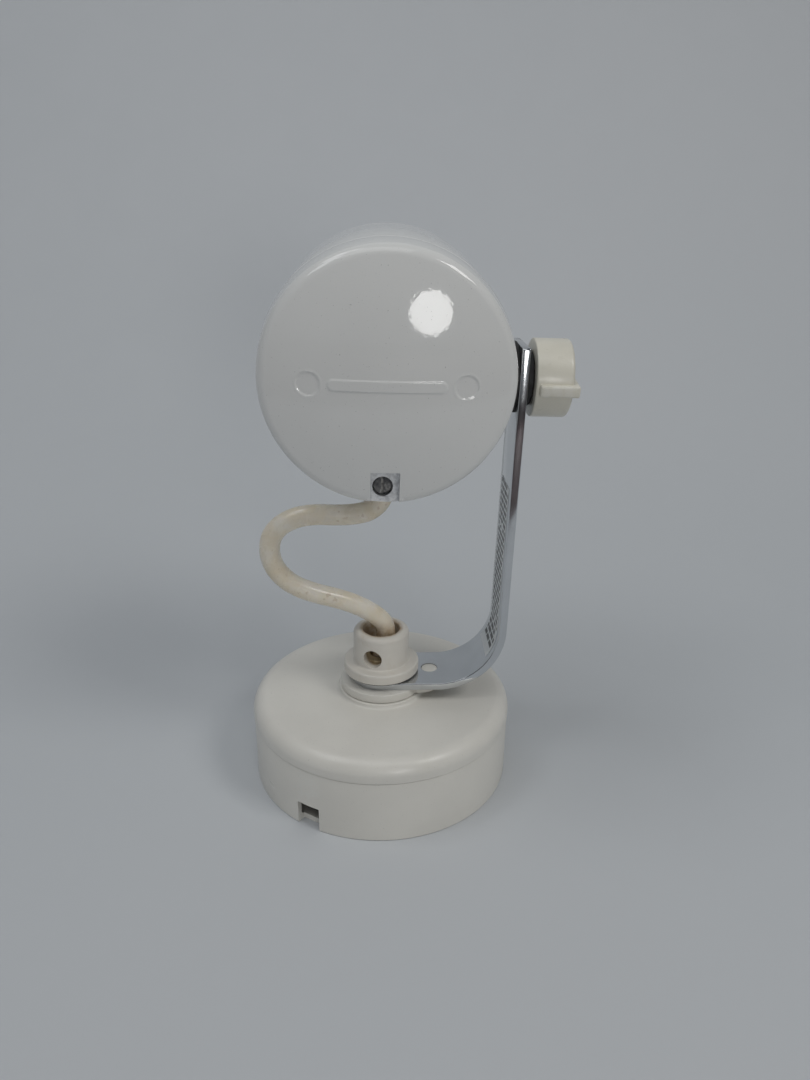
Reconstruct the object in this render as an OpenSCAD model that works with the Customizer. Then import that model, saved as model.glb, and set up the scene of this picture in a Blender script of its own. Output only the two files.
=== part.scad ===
// Adjustable spotlight on a round surface base.
// Millimetres, +Z up. The origin is the centre of the base's underside.
// The head's pivot axis runs to +X, and the beam leaves towards +Y.

/* [Base] */
// Outside diameter of the base housing
base_d = 124.4; // [115:0.2:140]
// Height of the base housing up to its seam with the cover
housing_h = 30.6; // [26:0.2:40]
// Height of the cover above the seam at its rim
cover_h = 10.4; // [9:0.2:14]
// Wall thickness of the base mouldings
base_wall = 2.5; // [2:0.1:3]
// Radius of the cover's rounded rim
cover_round = 7; // [4:0.5:8]
// Width of the cable notch in the housing's wall
notch_w = 11.6; // [8:0.2:14]
// Height of the cable notch
notch_h = 12; // [8:0.5:16]
// Turn of the cable notch from the front, clockwise seen from above
notch_turn = 32; // [20:1:45]
// Distance between the two fixing slots
slot_span = 70; // [60:1:80]

/* [Arm] */
// Width of the flat bar
bar_w = 30; // [26:1:32]
// Thickness of the flat bar
bar_t = 3.5; // [3:0.1:4]
// Outside face of the upright, from the pan axis
arm_x = 58; // [57:0.5:60]
// Outside radius of the bend
bend_r = 31.5; // [28:0.5:33]
// Outward lean of the upright
arm_lean = 1.2; // [0:0.1:2]
// Height of the tilt axis, before the lean
pivot_z = 194.3; // [185:0.5:205]
// Length of the upright past the tilt axis
arm_top = 14.4; // [12:0.2:18]

/* [Head] */
// Outside diameter of the drum
head_d = 102; // [101:0.2:102]
// Height of the drum's axis above the tilt axis
head_rise = 6; // [5:0.5:7]
// Distance from the tilt axis back to the rim of the rear face
head_back = 41; // [40:0.5:43]
// Slope of the domed rear face at its rim
dome_turn = 14; // [10:1:16]
// Distance from the tilt axis back to the rear cover's seam
seam_back = 25; // [25:0.5:26]
// Distance from the tilt axis to the front of the bezel
head_front = 43; // [43:0.5:46]
// Stored tilt of the head, front up
head_tilt = 3; // [0:1:6]

/* [Knob] */
// Diameter of the clamping knob
knob_d = 33; // [28:0.5:36]
// Length of the knob's round body
knob_l = 15.7; // [14:0.1:20]

/* [Cable] */
// Diameter of the cable's sheath
cable_d = 9.2; // [8.4:0.2:9.6]

/* [Hidden] */
$fn = 96;

// Colours
ivory = [0.87, 0.85, 0.78];
enamel = [0.90, 0.89, 0.86];
cream = [0.84, 0.82, 0.73];
sheath = [0.82, 0.76, 0.62];
rubber = [0.05, 0.05, 0.05];
steel = [0.62, 0.63, 0.65];
dark_steel = [0.25, 0.25, 0.26];
brass = [0.78, 0.64, 0.34];
ceramic = [0.93, 0.92, 0.88];
nylon = [0.92, 0.91, 0.86];
brown_core = [0.35, 0.20, 0.10];
blue_core = [0.12, 0.25, 0.55];
green_core = [0.45, 0.60, 0.15];

// Clearances
run = 0.08; // running fit on a thread or a stud, on the radius
gap = 0.3; // space between neighbours that move

// Base
base_r = base_d / 2;
cover_r = base_r + 0.3;
cover_top = housing_h + cover_h;
boss_r = 20.7;
boss_top = cover_top + 2.2;
spigot_h = 5;
stem_r = 8.75;
stem_bore = 5.4;
stem_top = 60;
stem_head_z = cover_top - base_wall - 4;
stem_head_h = 4;
stem_hex_r = 16.2;
rear_entry_r = 11;
slot_r = 2.5;
slot_l = 10;

// Arm: the foot lies on the stop ring
ring_r = 19.7;
ring_z = boss_top + gap;
foot_z = ring_z + 4.2;
foot_top = foot_z + bar_t;
peg_x = 23.5;
peg_r = 3.9;
nut_z = foot_top + 0.6 + gap;
flange_r = 18.1;
nut_r = 13.3;
nut_top = 73.6;
tommy_z = 63;
tommy_r = 4.5;
tommy_turn = 19;
bend_x = arm_x - bend_r;
bend_z = foot_z + bend_r;
arm_in = arm_x - bar_t;
stud_r = 3;

// Head, in a frame whose origin is on the tilt axis
head_r = head_d / 2;
head_wall = 2;
head_in = head_r - head_wall;
washer_t = 2.5;
boss_face = arm_in - washer_t - gap;
glass_t = 4;
focus_y = 9;
pocket_w = 11.6;
pocket_top = 34.8;
pocket_floor = head_back - 5;
screw_z = head_rise - 43.2;
entry_y = -13.5;
entry_x = 0;

// Knob
knob_x = arm_x + 3 + gap;
knob_end = knob_x + knob_l;

// Route of the cable: up through the stem, an S to the left, then into the drum from below
cable_route = [
    [0, 0, 20], [0, 0, 32], [0, 0, 44], [0, 0, 54], [0.8, -0.2, 62], [2.2, -0.5, 70], [1.2, -1.2, 76.5],
    [-2.5, -2, 81], [-7.5, -3, 85], [-14, -4.5, 89], [-22, -6, 92.5], [-30, -7.5, 95.5], [-38, -9, 99.5],
    [-44, -10, 104.5], [-48, -11, 111], [-49.4, -12, 118.5], [-47.8, -12.5, 126], [-43, -13, 131.5],
    [-36, -13, 134.8], [-28, -13, 136], [-20, -13, 135.8], [-12, -12.5, 136], [-5.5, -12, 137.5],
    [-1, -11.6, 141], [1.2, -11.3, 146], [1.5, -11.3, 151.5], [1.6, -11.5, 157], [1.7, -11.9, 163],
    [1.9, -12.2, 169]
];

// Points of an arc about [x, y], from angle a to angle b
function arc(x, y, r, a, b, n = 8) =
    [for (i = [0:n]) [x + r * cos(a + (b - a) * i / n), y + r * sin(a + (b - a) * i / n)]];

// Swept tube: the heading at each point of a route, a sideways direction carried along it without
// twisting, then one ring of points at each
function unit(v) = v / norm(v);
function heading(p, i) = unit(p[min(i + 1, len(p) - 1)] - p[max(i - 1, 0)]);
function square_to(v, d) = unit(v - (v * d) * d);
function sideways(p, i) =
    i > 0 ? square_to(sideways(p, i - 1), heading(p, i)) :
    square_to(abs(heading(p, 0)[1]) < 0.7 ? [0, 1, 0] : [1, 0, 0], heading(p, 0));
function ring_at(p, i, r, n) =
    let (u = sideways(p, i), v = cross(heading(p, i), u))
    [for (k = [0:n - 1]) p[i] + r * cos(360 * k / n) * u + r * sin(360 * k / n) * v];

module tube(route, r, sides) {
    last = len(route) - 1;
    points = [for (i = [0:last]) each ring_at(route, i, r, sides)];
    walls = [for (i = [0:last - 1]) for (k = [0:sides - 1])
        let (a = i * sides + k, b = i * sides + (k + 1) % sides)
        each [[a, b, b + sides], [a, b + sides, a + sides]]];
    near_cap = [[for (k = [sides - 1:-1:0]) k]];
    far_cap = [[for (k = [0:sides - 1]) last * sides + k]];
    polyhedron(points, concat(walls, near_cap, far_cap), convexity = 6);
}

// Frames
module upright_frame() {
    translate([bend_x, 0, bend_z])
        rotate([0, arm_lean, 0])
            translate([-bend_x, 0, -bend_z])
                children();
}

module head_frame() {
    upright_frame()
        translate([0, 0, pivot_z])
            rotate([head_tilt, 0, 0])
                children();
}

// Turns a profile of [radius, distance forward] about the drum's axis
module head_lathe() {
    translate([0, 0, head_rise])
        rotate([-90, 0, 0])
            rotate_extrude()
                children();
}

module along_y(x, y, z) {
    translate([x, y, z])
        rotate([-90, 0, 0])
            children();
}

module along_x(x, y = 0, z = 0) {
    translate([x, y, z])
        rotate([0, 90, 0])
            children();
}

// Screw standing on z = 0 with its shank downwards and a slot across its head
module slotted_screw(head_r, head_h, shank_r, shank_l) {
    difference() {
        union() {
            translate([0, 0, -shank_l])
                cylinder(r = shank_r, h = shank_l);
            rotate_extrude()
                polygon(concat(
                    [[0, 0], [head_r, 0]],
                    arc(head_r - 0.4, head_h - 0.4, 0.4, 0, 90, 4),
                    [[0, head_h]]));
        }
        translate([-head_r - 1, -0.5, head_h * 0.5])
            cube([2 * head_r + 2, 1, head_h]);
    }
}

// Terminal strip of three ways: the wires run along y, and the screws go down from the top
way = 9;
strip_d = 16;
strip_h = 12;
tube_z = 4.5;

module terminal_body(ways = 3) {
    difference() {
        union() {
            for (i = [0:ways - 1])
                translate([i * way + 0.6, 0, 0])
                    cube([way - 1.2, strip_d, strip_h]);
            translate([0.6, 3, 0])
                cube([ways * way - 1.2, strip_d - 6, 7.5]);
        }
        for (i = [0:ways - 1]) {
            translate([(i + 0.5) * way, -1, tube_z])
                rotate([-90, 0, 0])
                    cylinder(r = 2.7, h = strip_d + 2);
            for (y = [4.5, strip_d - 4.5])
                translate([(i + 0.5) * way, y, tube_z])
                    cylinder(r = 2.1, h = strip_h);
        }
        for (i = [1:ways - 1]) {
            translate([i * way, strip_d / 2, -1])
                cylinder(r = 1.6, h = strip_h);
            translate([i * way, strip_d / 2, 7.5])
                cylinder(r = 2.9, h = strip_h);
        }
    }
}

module terminal_tubes(ways = 3) {
    for (i = [0:ways - 1])
        difference() {
            translate([(i + 0.5) * way, 1, tube_z])
                rotate([-90, 0, 0])
                    cylinder(r = 2.6, h = strip_d - 2);
            translate([(i + 0.5) * way, 0, tube_z])
                rotate([-90, 0, 0])
                    cylinder(r = 1.7, h = strip_d);
            for (y = [4.5, strip_d - 4.5])
                translate([(i + 0.5) * way, y, tube_z + 0.2])
                    cylinder(r = 1.6, h = strip_h);
        }
}

module terminal_screws(ways = 3) {
    for (i = [0:ways - 1])
        for (y = [4.5, strip_d - 4.5])
            translate([(i + 0.5) * way, y, strip_h - 2.6])
                slotted_screw(1.9, 1.6, 1.4, 3.2);
}

module terminal_fixing(ways = 3, drop = 3) {
    for (i = [1:ways - 1])
        translate([i * way, strip_d / 2, 7.5])
            slotted_screw(2.6, 1.8, 1.4, 7.5 + drop);
}

// Two-piece cord clamp: a saddle over the sheath. The sheath runs along z through the origin
clamp_span = 22;
clamp_h = 8;

module cord_clamp() {
    difference() {
        union() {
            translate([-clamp_span / 2 - 4, 0.4, 0])
                cube([clamp_span + 8, 3, clamp_h]);
            cylinder(r = cable_d / 2 + 3.3, h = clamp_h);
        }
        translate([0, 0, -1])
            cylinder(r = cable_d / 2 + gap, h = clamp_h + 2);
        translate([-30, -30 + 0.4, -1])
            cube([60, 30, clamp_h + 2]);
        for (x = [-1, 1])
            translate([x * clamp_span / 2, -1, clamp_h / 2])
                rotate([-90, 0, 0])
                    cylinder(r = 1.7, h = 6);
    }
}

module cord_clamp_screws(length) {
    for (x = [-1, 1])
        translate([x * clamp_span / 2, 3.4, clamp_h / 2])
            rotate([-90, 0, 0])
                slotted_screw(2.8, 2, 1.5, length);
}

// ---------------------------------------------------------------- base
clamp_z = 22;
block_at = [-13.5, 18, base_wall];
earth_at = [30, 26, base_wall];

module base_housing() {
    color(ivory)
        difference() {
            union() {
                rotate_extrude()
                    polygon(concat(
                        [[rear_entry_r, 0], [base_r - 0.6, 0], [base_r, 0.6], [base_r, housing_h - 0.3]],
                        [[base_r - 0.3, housing_h], [base_r - base_wall, housing_h]],
                        arc(base_r - base_wall - 2, base_wall + 2, 2, 0, -90, 4),
                        [[rear_entry_r, base_wall]]));
                // posts for the cord clamp, ahead of the sheath
                for (x = [-1, 1])
                    translate([x * clamp_span / 2 - 4, -12, 1])
                        cube([8, 12.4, clamp_z + clamp_h - 1]);
                // earth boss
                translate([earth_at[0], earth_at[1], 1])
                    cylinder(r = 5, h = 5);
            }
            // cable entry from the mounting surface, and room for the cable between the posts
            translate([0, 0, -1])
                cylinder(r = rear_entry_r, h = base_wall + 1);
            translate([-rear_entry_r - 0.2, -13, base_wall])
                cube([2 * rear_entry_r + 0.4, 14, clamp_z - 3 - base_wall]);
            // cable notch through the wall, open at the bottom edge
            rotate([0, 0, -notch_turn])
                translate([-notch_w / 2, -base_r - 1, -1])
                    cube([notch_w, base_wall + 3, notch_h + 1]);
            // fixing slots
            for (y = [-1, 1])
                for (dy = [-1, 1])
                    translate([0, y * slot_span / 2 + dy * (slot_l / 2 - slot_r), -1])
                        cylinder(r = slot_r, h = base_wall + 2);
            for (y = [-1, 1])
                translate([-slot_r, y * slot_span / 2 - (slot_l / 2 - slot_r), -1])
                    cube([2 * slot_r, slot_l - 2 * slot_r, base_wall + 2]);
            // clamp screws, terminal fixings, earth screw and the lock screw's hole
            for (x = [-1, 1])
                translate([x * clamp_span / 2, -9, clamp_z + clamp_h / 2])
                    rotate([-90, 0, 0])
                        cylinder(r = 1.5, h = 12);
            for (i = [1, 2])
                translate([block_at[0] + i * way, block_at[1] + strip_d / 2, -1])
                    cylinder(r = 1.4, h = 6);
            translate([earth_at[0], earth_at[1], 1.5])
                cylinder(r = 1.6, h = 6);
            translate([0, base_r - base_wall - 2, housing_h - 2.8])
                rotate([-90, 0, 0])
                    cylinder(r = 1.7, h = 8);
        }
}

module base_cover() {
    spigot_r = base_r - base_wall - 0.2;
    under = cover_top - base_wall - 0.5;
    color(ivory)
        difference() {
            union() {
                rotate_extrude()
                    polygon(concat(
                        [[stem_r + 0.1, boss_top], [boss_r - 0.6, boss_top], [boss_r, boss_top - 0.6]],
                        arc(boss_r + 1.6, cover_top + 2.4, 1.6, 180, 262, 5),
                        arc(cover_r - cover_round, cover_top - cover_round, cover_round, 88, 0, 12),
                        [[cover_r, housing_h + 0.4], [cover_r - 0.3, housing_h + 0.1]],
                        [[spigot_r, housing_h + 0.1], [spigot_r, housing_h - spigot_h]],
                        [[spigot_r - 2, housing_h - spigot_h]],
                        arc(spigot_r - 6, under - 4, 4, 0, 90, 6),
                        [[stem_r + 0.1, under]]));
                // collar that holds the stem's hexagon head
                translate([0, 0, stem_head_z])
                    cylinder(r = stem_hex_r + 3, h = under - stem_head_z + 0.5);
                // lug for the lock screw
                translate([-5, spigot_r - 6, housing_h - spigot_h])
                    cube([10, 5, spigot_h + 2]);
            }
            translate([0, 0, -1])
                cylinder(r = stem_r + 0.1, h = 60);
            translate([0, 0, stem_head_z - 1])
                cylinder(r = stem_hex_r + 0.15, h = stem_head_h + 1, $fn = 6);
            // groove for the stop ring's lug, with the fixed stop left standing opposite the arm
            difference() {
                translate([0, 0, boss_top - 1.6])
                    cylinder(r = 17.4, h = 3);
                translate([0, 0, boss_top - 2])
                    cylinder(r = 13, h = 4);
                translate([-20, -1.6, boss_top - 2])
                    cube([10, 3.2, 4]);
            }
            translate([0, spigot_r - 8, housing_h - 2.8])
                rotate([-90, 0, 0])
                    cylinder(r = 1.4, h = 12);
        }
}

module cover_lock_screw() {
    color(steel)
        translate([0, base_r, housing_h - 2.8])
            rotate([-90, 0, 0])
                slotted_screw(2.6, 1.4, 1.35, 7.5);
}

module stem() {
    color(steel)
        difference() {
            union() {
                translate([0, 0, stem_head_z])
                    cylinder(r = stem_hex_r, h = stem_head_h - 0.05, $fn = 6);
                translate([0, 0, stem_head_z])
                    cylinder(r = stem_r, h = stem_top - stem_head_z);
            }
            translate([0, 0, stem_head_z - 1])
                cylinder(r = stem_bore, h = stem_top);
        }
}

module base_terminal_block() {
    color(nylon)
        translate(block_at)
            terminal_body();
}

module base_terminal_tubes() {
    color(brass)
        translate(block_at)
            terminal_tubes();
}

module base_terminal_screws() {
    color(steel)
        translate(block_at)
            terminal_screws();
}

module base_terminal_fixing() {
    color(steel)
        translate(block_at)
            terminal_fixing(3, base_wall - 0.5);
}

module base_earth_screw() {
    color(brass)
        translate([earth_at[0], earth_at[1], 6.6])
            slotted_screw(3.6, 2.4, 1.5, 5);
}

module base_cord_clamp() {
    color(nylon)
        translate([0, 0, clamp_z])
            cord_clamp();
}

module base_clamp_screws() {
    color(steel)
        translate([0, 0, clamp_z])
            cord_clamp_screws(9);
}

core_r = 1.5;

// A core drops from the sheath's end to way i of the base strip
module base_core(i) {
    x = block_at[0] + (i + 0.5) * way;
    z = block_at[2] + tube_z;
    start = [1.7 * (i - 1), i == 1 ? 1.9 : -0.9];
    tube([
        [start[0], start[1], 19.7], [start[0], start[1] + 0.8, 15], [(start[0] + x) / 2, 5, 9.5],
        [x, 11, z + 0.6], [x, 16, z], [x, 22, z]
    ], core_r, 8);
}

module base_core_live() {
    color(brown_core)
        base_core(0);
}

module base_core_neutral() {
    color(blue_core)
        base_core(1);
}

module base_core_earth() {
    color(green_core)
        base_core(2);
}

// ---------------------------------------------------------------- arm
module stop_ring() {
    color(ivory)
        difference() {
            union() {
                translate([0, 0, ring_z])
                    cylinder(r = ring_r, h = foot_z - ring_z);
                // tongue under the bar, with the peg that turns the ring with the bar
                translate([0, -11, ring_z])
                    cube([18.5, 22, foot_z - ring_z]);
                translate([18.5, 0, ring_z])
                    cylinder(r = 11, h = foot_z - ring_z);
                translate([peg_x, 0, foot_z - 1])
                    cylinder(r = peg_r, h = bar_t + 0.8);
                // lug in the boss's groove
                translate([15.2, 0, boss_top - 1.2])
                    cylinder(r = 1.8, h = 2.4);
            }
            translate([0, 0, ring_z - 1])
                cylinder(r = stem_r + gap, h = 20);
        }
}

bend_steps = 24;
up_l = pivot_z + arm_top - bend_z;

// Point of the leaning upright: distance from the pan axis and height past the bend, before the lean
function up_point(x, up) =
    let (out = x - bend_x)
    [bend_x + out * cos(arm_lean) + up * sin(arm_lean), bend_z - out * sin(arm_lean) + up * cos(arm_lean)];

module bracket() {
    color("white")
        difference() {
            union() {
                translate([0, 0, foot_z])
                    cylinder(r = bar_w / 2, h = bar_t);
                // foot, bend and upright in one profile
                translate([0, bar_w / 2, 0])
                    rotate([90, 0, 0])
                        linear_extrude(bar_w)
                            polygon(concat(
                                [[0, foot_z]],
                                arc(bend_x, bend_z, bend_r, -90, -arm_lean, bend_steps),
                                [up_point(arm_x, up_l), up_point(arm_in, up_l)],
                                arc(bend_x, bend_z, bend_r - bar_t, -arm_lean, -90, bend_steps),
                                [[0, foot_top]]));
            }
            translate([0, 0, foot_z - 1])
                cylinder(r = stem_r + gap, h = bar_t + 2);
            translate([peg_x, 0, foot_z - 1])
                cylinder(r = peg_r + 0.1, h = bar_t + 2);
            upright_frame()
                along_x(arm_in - 1, 0, pivot_z)
                    cylinder(r = stud_r + gap, h = bar_t + 2);
        }
}

module nut_washer() {
    color(rubber)
        difference() {
            translate([0, 0, foot_top])
                cylinder(r = 16.6, h = 0.6);
            translate([0, 0, foot_top - 1])
                cylinder(r = stem_r + gap, h = 3);
        }
}

// Label on the inside of the upright; its lower end follows the bend
label_w = 22;
label_t = 0.2;
label_l = 68;
label_steps = 9;

module rating_label() {
    low = -arm_lean - label_steps * (90 - arm_lean) / bend_steps;
    r = bend_r - bar_t;
    color("white")
        translate([0, label_w / 2, 0])
            rotate([90, 0, 0])
                linear_extrude(label_w)
                    polygon(concat(
                        arc(bend_x, bend_z, r - label_t, low, -arm_lean, label_steps),
                        [up_point(arm_in - label_t, label_l), up_point(arm_in, label_l)],
                        arc(bend_x, bend_z, r, -arm_lean, low, label_steps)));
}

module friction_washer(x, r, t) {
    color(rubber)
        upright_frame()
            difference() {
                along_x(x, 0, pivot_z)
                    cylinder(r = r, h = t);
                along_x(x - 1, 0, pivot_z)
                    cylinder(r = stud_r + gap, h = t + 2);
            }
}

module inner_washer() {
    friction_washer(arm_in - washer_t, 15, washer_t);
}

module outer_washer() {
    friction_washer(arm_x, 12, 3);
}

module cable() {
    color(sheath)
        tube(cable_route, cable_d / 2, 12);
}

module clamp_nut() {
    color(ivory)
        difference() {
            rotate_extrude()
                polygon(concat(
                    [[stem_r + run, nut_z], [flange_r - 0.6, nut_z], [flange_r, nut_z + 0.6]],
                    arc(flange_r - 0.8, nut_z + 4.2, 0.8, 0, 90, 4),
                    arc(nut_r + 1, nut_z + 6, 1, 270, 180, 4),
                    arc(nut_r - 3, nut_top - 3, 3, 0, 90, 8),
                    arc(stem_r + run + 0.8, nut_top - 0.8, 0.8, 90, 180, 4)));
            for (turn = [0, 180])
                rotate([0, 0, -tommy_turn + turn])
                    translate([0, -nut_r - 1, tommy_z])
                        rotate([-90, 0, 0])
                            cylinder(r = tommy_r, h = 7);
        }
}

// ---------------------------------------------------------------- head
module head_drum() {
    color(enamel)
        head_frame()
            difference() {
                union() {
                    head_lathe()
                        polygon([
                            [head_in, -seam_back], [head_r - 0.4, -seam_back], [head_r, 0.4 - seam_back],
                            [head_r, head_front - 3], [head_in, head_front - 3], [head_in, head_front - 7.5],
                            [head_in - 4.5, head_front - 7.5], [head_in - 4.5, head_front - 9],
                            [head_in, head_front - 13]
                        ]);
                    // pivot boss, outside and inside the wall
                    along_x(boss_face - 5)
                        cylinder(r = 13, h = 5);
                    // lug for the rear cover's screw
                    translate([-6.5, -seam_back, head_rise - head_in - 0.8])
                        cube([11, 3, 10.5]);
                    // lugs for the chassis plate
                    for (x = [-1, 1])
                        translate([x > 0 ? 40 : -49.6, plate_y + plate_t, head_rise - 5])
                            cube([9.6, 8, 10]);
                    // posts for the cord clamp
                    for (x = [-1, 1])
                        translate([entry_x + x * clamp_span / 2 - 3.6, entry_y - 0.4, clamp_low - 7.5])
                            cube([7.2, 6, clamp_h + 7.5]);
                }
                along_x(boss_face - 20)
                    cylinder(r = stud_r + 0.1, h = 30);
                along_x(boss_face - 20)
                    cylinder(r = 8, h = 15.5);
                along_y(-1, -seam_back - 1, screw_z)
                    cylinder(r = 1.7, h = 12);
                for (x = [-1, 1])
                    along_y(x * 44, plate_y, head_rise)
                        cylinder(r = 1.4, h = 8);
                // cable entry
                translate([entry_x, entry_y, head_rise - head_r - 2])
                    cylinder(r = 6.2, h = 10);
                for (x = [-1, 1])
                    along_y(entry_x + x * clamp_span / 2, entry_y - 1, clamp_low + clamp_h / 2)
                        cylinder(r = 1.5, h = 6.5);
                for (turn = [30, 150, 270])
                    bezel_screw_place(turn) {
                        cylinder(r = 1.3, h = 8, center = true);
                        translate([0, 0, -0.35])
                            cylinder(r = 2.5, h = 8);
                    }
            }
}

// Radial place in the drum's wall for a bezel screw
module bezel_screw_place(turn) {
    translate([0, head_front - 5.4, head_rise])
        rotate([0, -turn, 0])
            translate([head_r - 1, 0, 0])
                rotate([0, 90, 0])
                    children();
}

// The rear face is part of a sphere that runs into the rim's small arc
face_r = head_r - 1.2;
rim_r = 5;
dome_r = (face_r - rim_r) / sin(dome_turn) + rim_r;
dome_y = rim_r - head_back + (dome_r - rim_r) * cos(dome_turn);

module rear_cover() {
    color(enamel)
        head_frame()
            difference() {
                union() {
                    head_lathe()
                        polygon(concat(
                            arc(0, dome_y, dome_r, -90, dome_turn - 90, 16),
                            arc(face_r - rim_r, rim_r - head_back, rim_r, dome_turn - 90, -8, 8),
                            [[head_r, -seam_back - 0.5], [head_r - 0.3, -seam_back]],
                            [[head_in - 0.3, -seam_back], [head_in - 0.3, -seam_back + 3]],
                            [[head_in - 1.8, -seam_back + 3], [head_in - 1.8, -seam_back]],
                            arc(face_r - 6, 5.8 - head_back, 4, 0, dome_turn - 90, 6),
                            arc(0, dome_y, dome_r - 2, dome_turn - 91, -90, 8)));
                    // block behind the screw pocket
                    translate([-pocket_w / 2 - 1.6, -pocket_floor, head_rise - 49.2])
                        cube([pocket_w + 3.2, 6, 51.6 - pocket_top]);
                    translate([-pocket_w / 2 - 1.6, 1 - head_back, head_rise - 48])
                        cube([pocket_w + 3.2, 6, 50.4 - pocket_top]);
                    // plain raised bar on the rear face
                    raised_bar();
                    // hook at the top
                    translate([-6, -seam_back - 2, head_rise + head_in - 3.6])
                        cube([12, 8, 1.6]);
                }
                // gap in the skirt for the drum's screw lug
                translate([-7, -seam_back, head_rise - head_in - 1])
                    cube([12, 4, 10]);
                // pocket, open at the bottom edge
                translate([-pocket_w / 2, -head_back - 8, head_rise - 60])
                    cube([pocket_w, 8 + head_back - pocket_floor, 60 - pocket_top]);
                along_y(-1, -head_back, screw_z)
                    cylinder(r = 4.2, h = 9.2);
                along_y(-1, -head_back, screw_z)
                    cylinder(r = 2.2, h = 14);
                // shallow round marks, square to the dome
                for (side = [-1, 1])
                    translate([0, dome_y, head_rise])
                        rotate([0, 0, side * mark_turn])
                            along_y(0, -dome_r - 2, 0)
                                cylinder(r = 4.7, h = 2.4);
            }
}

mark_turn = 9.2;
bar_mark_l = 45;
bar_mark_h = 4.6;

module raised_bar() {
    r = bar_mark_h / 2;
    intersection() {
        union() {
            for (side = [-1, 1])
                along_y(side * (bar_mark_l / 2 - r), -head_back - 9, head_rise)
                    cylinder(r = r, h = 9);
            translate([r - bar_mark_l / 2, -head_back - 9, head_rise - r])
                cube([bar_mark_l - 2 * r, 9, bar_mark_h]);
        }
        translate([0, dome_y, head_rise])
            sphere(r = dome_r + 0.35);
    }
}

module rear_cover_screw() {
    color(dark_steel)
        head_frame()
            translate([-1, -head_back + 9.1, screw_z])
                rotate([90, 0, 0])
                    rotate([0, 0, 90])
                        slotted_screw(3.7, 3, 1.65, 11.5);
}

module front_bezel() {
    color(enamel)
        head_frame()
            difference() {
                head_lathe()
                    polygon(concat(
                        [[head_in - 5.5, head_front], [head_in - 5.5, head_front - 1.8]],
                        [[head_in - 2.2, head_front - 1.8], [head_in - 2.2, head_front - 7.4]],
                        [[head_in - 0.3, head_front - 7.4], [head_in - 0.3, head_front - 3]],
                        arc(head_r - 2.6, head_front - 2.6, 2.6, 0, 90, 6)));
                for (turn = [30, 150, 270])
                    bezel_screw_place(turn)
                        cylinder(r = 1.25, h = 12, center = true);
            }
}

module bezel_screws() {
    color(steel)
        head_frame()
            for (turn = [30, 150, 270])
                bezel_screw_place(turn)
                    translate([0, 0, -0.3])
                        slotted_screw(2.4, 1.2, 1.2, 2.9);
}

module front_glass() {
    color([0.8, 0.9, 0.9, 0.4])
        head_frame()
            head_lathe()
                translate([0, head_front - 2.4 - glass_t])
                    square([head_in - 2.6, glass_t]);
}

module glass_gasket() {
    color("gainsboro")
        head_frame()
            head_lathe()
                translate([head_in - 5.2, head_front - 2.35])
                    square([2.7, 0.5]);
}

// Reflector: a paraboloid about the lamp, with a rim that rests on the drum's ledge
reflector_back = focus_y - 12;

function dish(r, lift) = [r, reflector_back + lift + r * r / 48];

module reflector() {
    dish_r = 42;
    steps = 12;
    inner = [for (i = [0:steps]) dish(9.5 + (dish_r - 9.5) * i / steps, 0)];
    outer = [for (i = [steps:-1:0]) dish(9.5 + (dish_r - 9.5) * i / steps, -1.1)];
    rim_y = head_front - 6.5;
    color("silver")
        head_frame()
            head_lathe()
                polygon(concat(
                    inner,
                    [[dish_r + 0.6, rim_y], [head_in - 2.4, rim_y]],
                    [[head_in - 2.4, rim_y - 0.9], [dish_r + 1.6, rim_y - 0.9]],
                    outer));
}

holder_y = -12;
holder_l = 14;
plate_y = -19.3;
plate_t = 1.2;
plate_low = -20;
strip_at = [8, plate_y, -17];
clamp_low = -35;

module lampholder() {
    color(ceramic)
        head_frame()
            difference() {
                union() {
                    along_y(0, holder_y - holder_l, head_rise)
                        cylinder(r = 8, h = holder_l);
                    translate([-14, plate_y - 2, head_rise - 5])
                        cube([28, 2, 10]);
                }
                for (x = [-1, 1]) {
                    along_y(x * 3.2, holder_y - holder_l - 1, head_rise)
                        cylinder(r = 0.8, h = holder_l + 2);
                    along_y(x * 11, plate_y - 3, head_rise)
                        cylinder(r = 1.5, h = 4);
                }
            }
}

// Steel chassis across the drum: it carries the lampholder, the terminal strip and the earth screw
module chassis_plate() {
    color(steel)
        head_frame()
            difference() {
                intersection() {
                    along_y(0, plate_y, head_rise)
                        cylinder(r = head_in - 0.6, h = plate_t);
                    translate([-60, plate_y - 1, plate_low])
                        cube([120, 4, head_rise + 6 - plate_low]);
                }
                along_y(0, plate_y - 1, head_rise)
                    cylinder(r = 8.2, h = 4);
                for (x = [-44, -11, 11, 44])
                    along_y(x, plate_y - 1, head_rise)
                        cylinder(r = 1.5, h = 4);
                along_y(strip_at[0] + way, plate_y - 1, strip_at[2] + strip_d / 2)
                    cylinder(r = 1.4, h = 4);
                along_y(-16, plate_y - 1, -11)
                    cylinder(r = 1.4, h = 4);
            }
}

module screw_facing_back(x, y, z, head_r, shank_l) {
    translate([x, y, z])
        rotate([90, 0, 0])
            slotted_screw(head_r, 1.8, 1.35, shank_l);
}

module lampholder_screws() {
    color(steel)
        head_frame()
            for (x = [-11, 11])
                screw_facing_back(x, plate_y - 2.05, head_rise, 2.6, 5);
}

module chassis_screws() {
    color(steel)
        head_frame()
            for (x = [-44, 44])
                screw_facing_back(x, plate_y - 0.05, head_rise, 2.8, 6.5);
}

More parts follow.
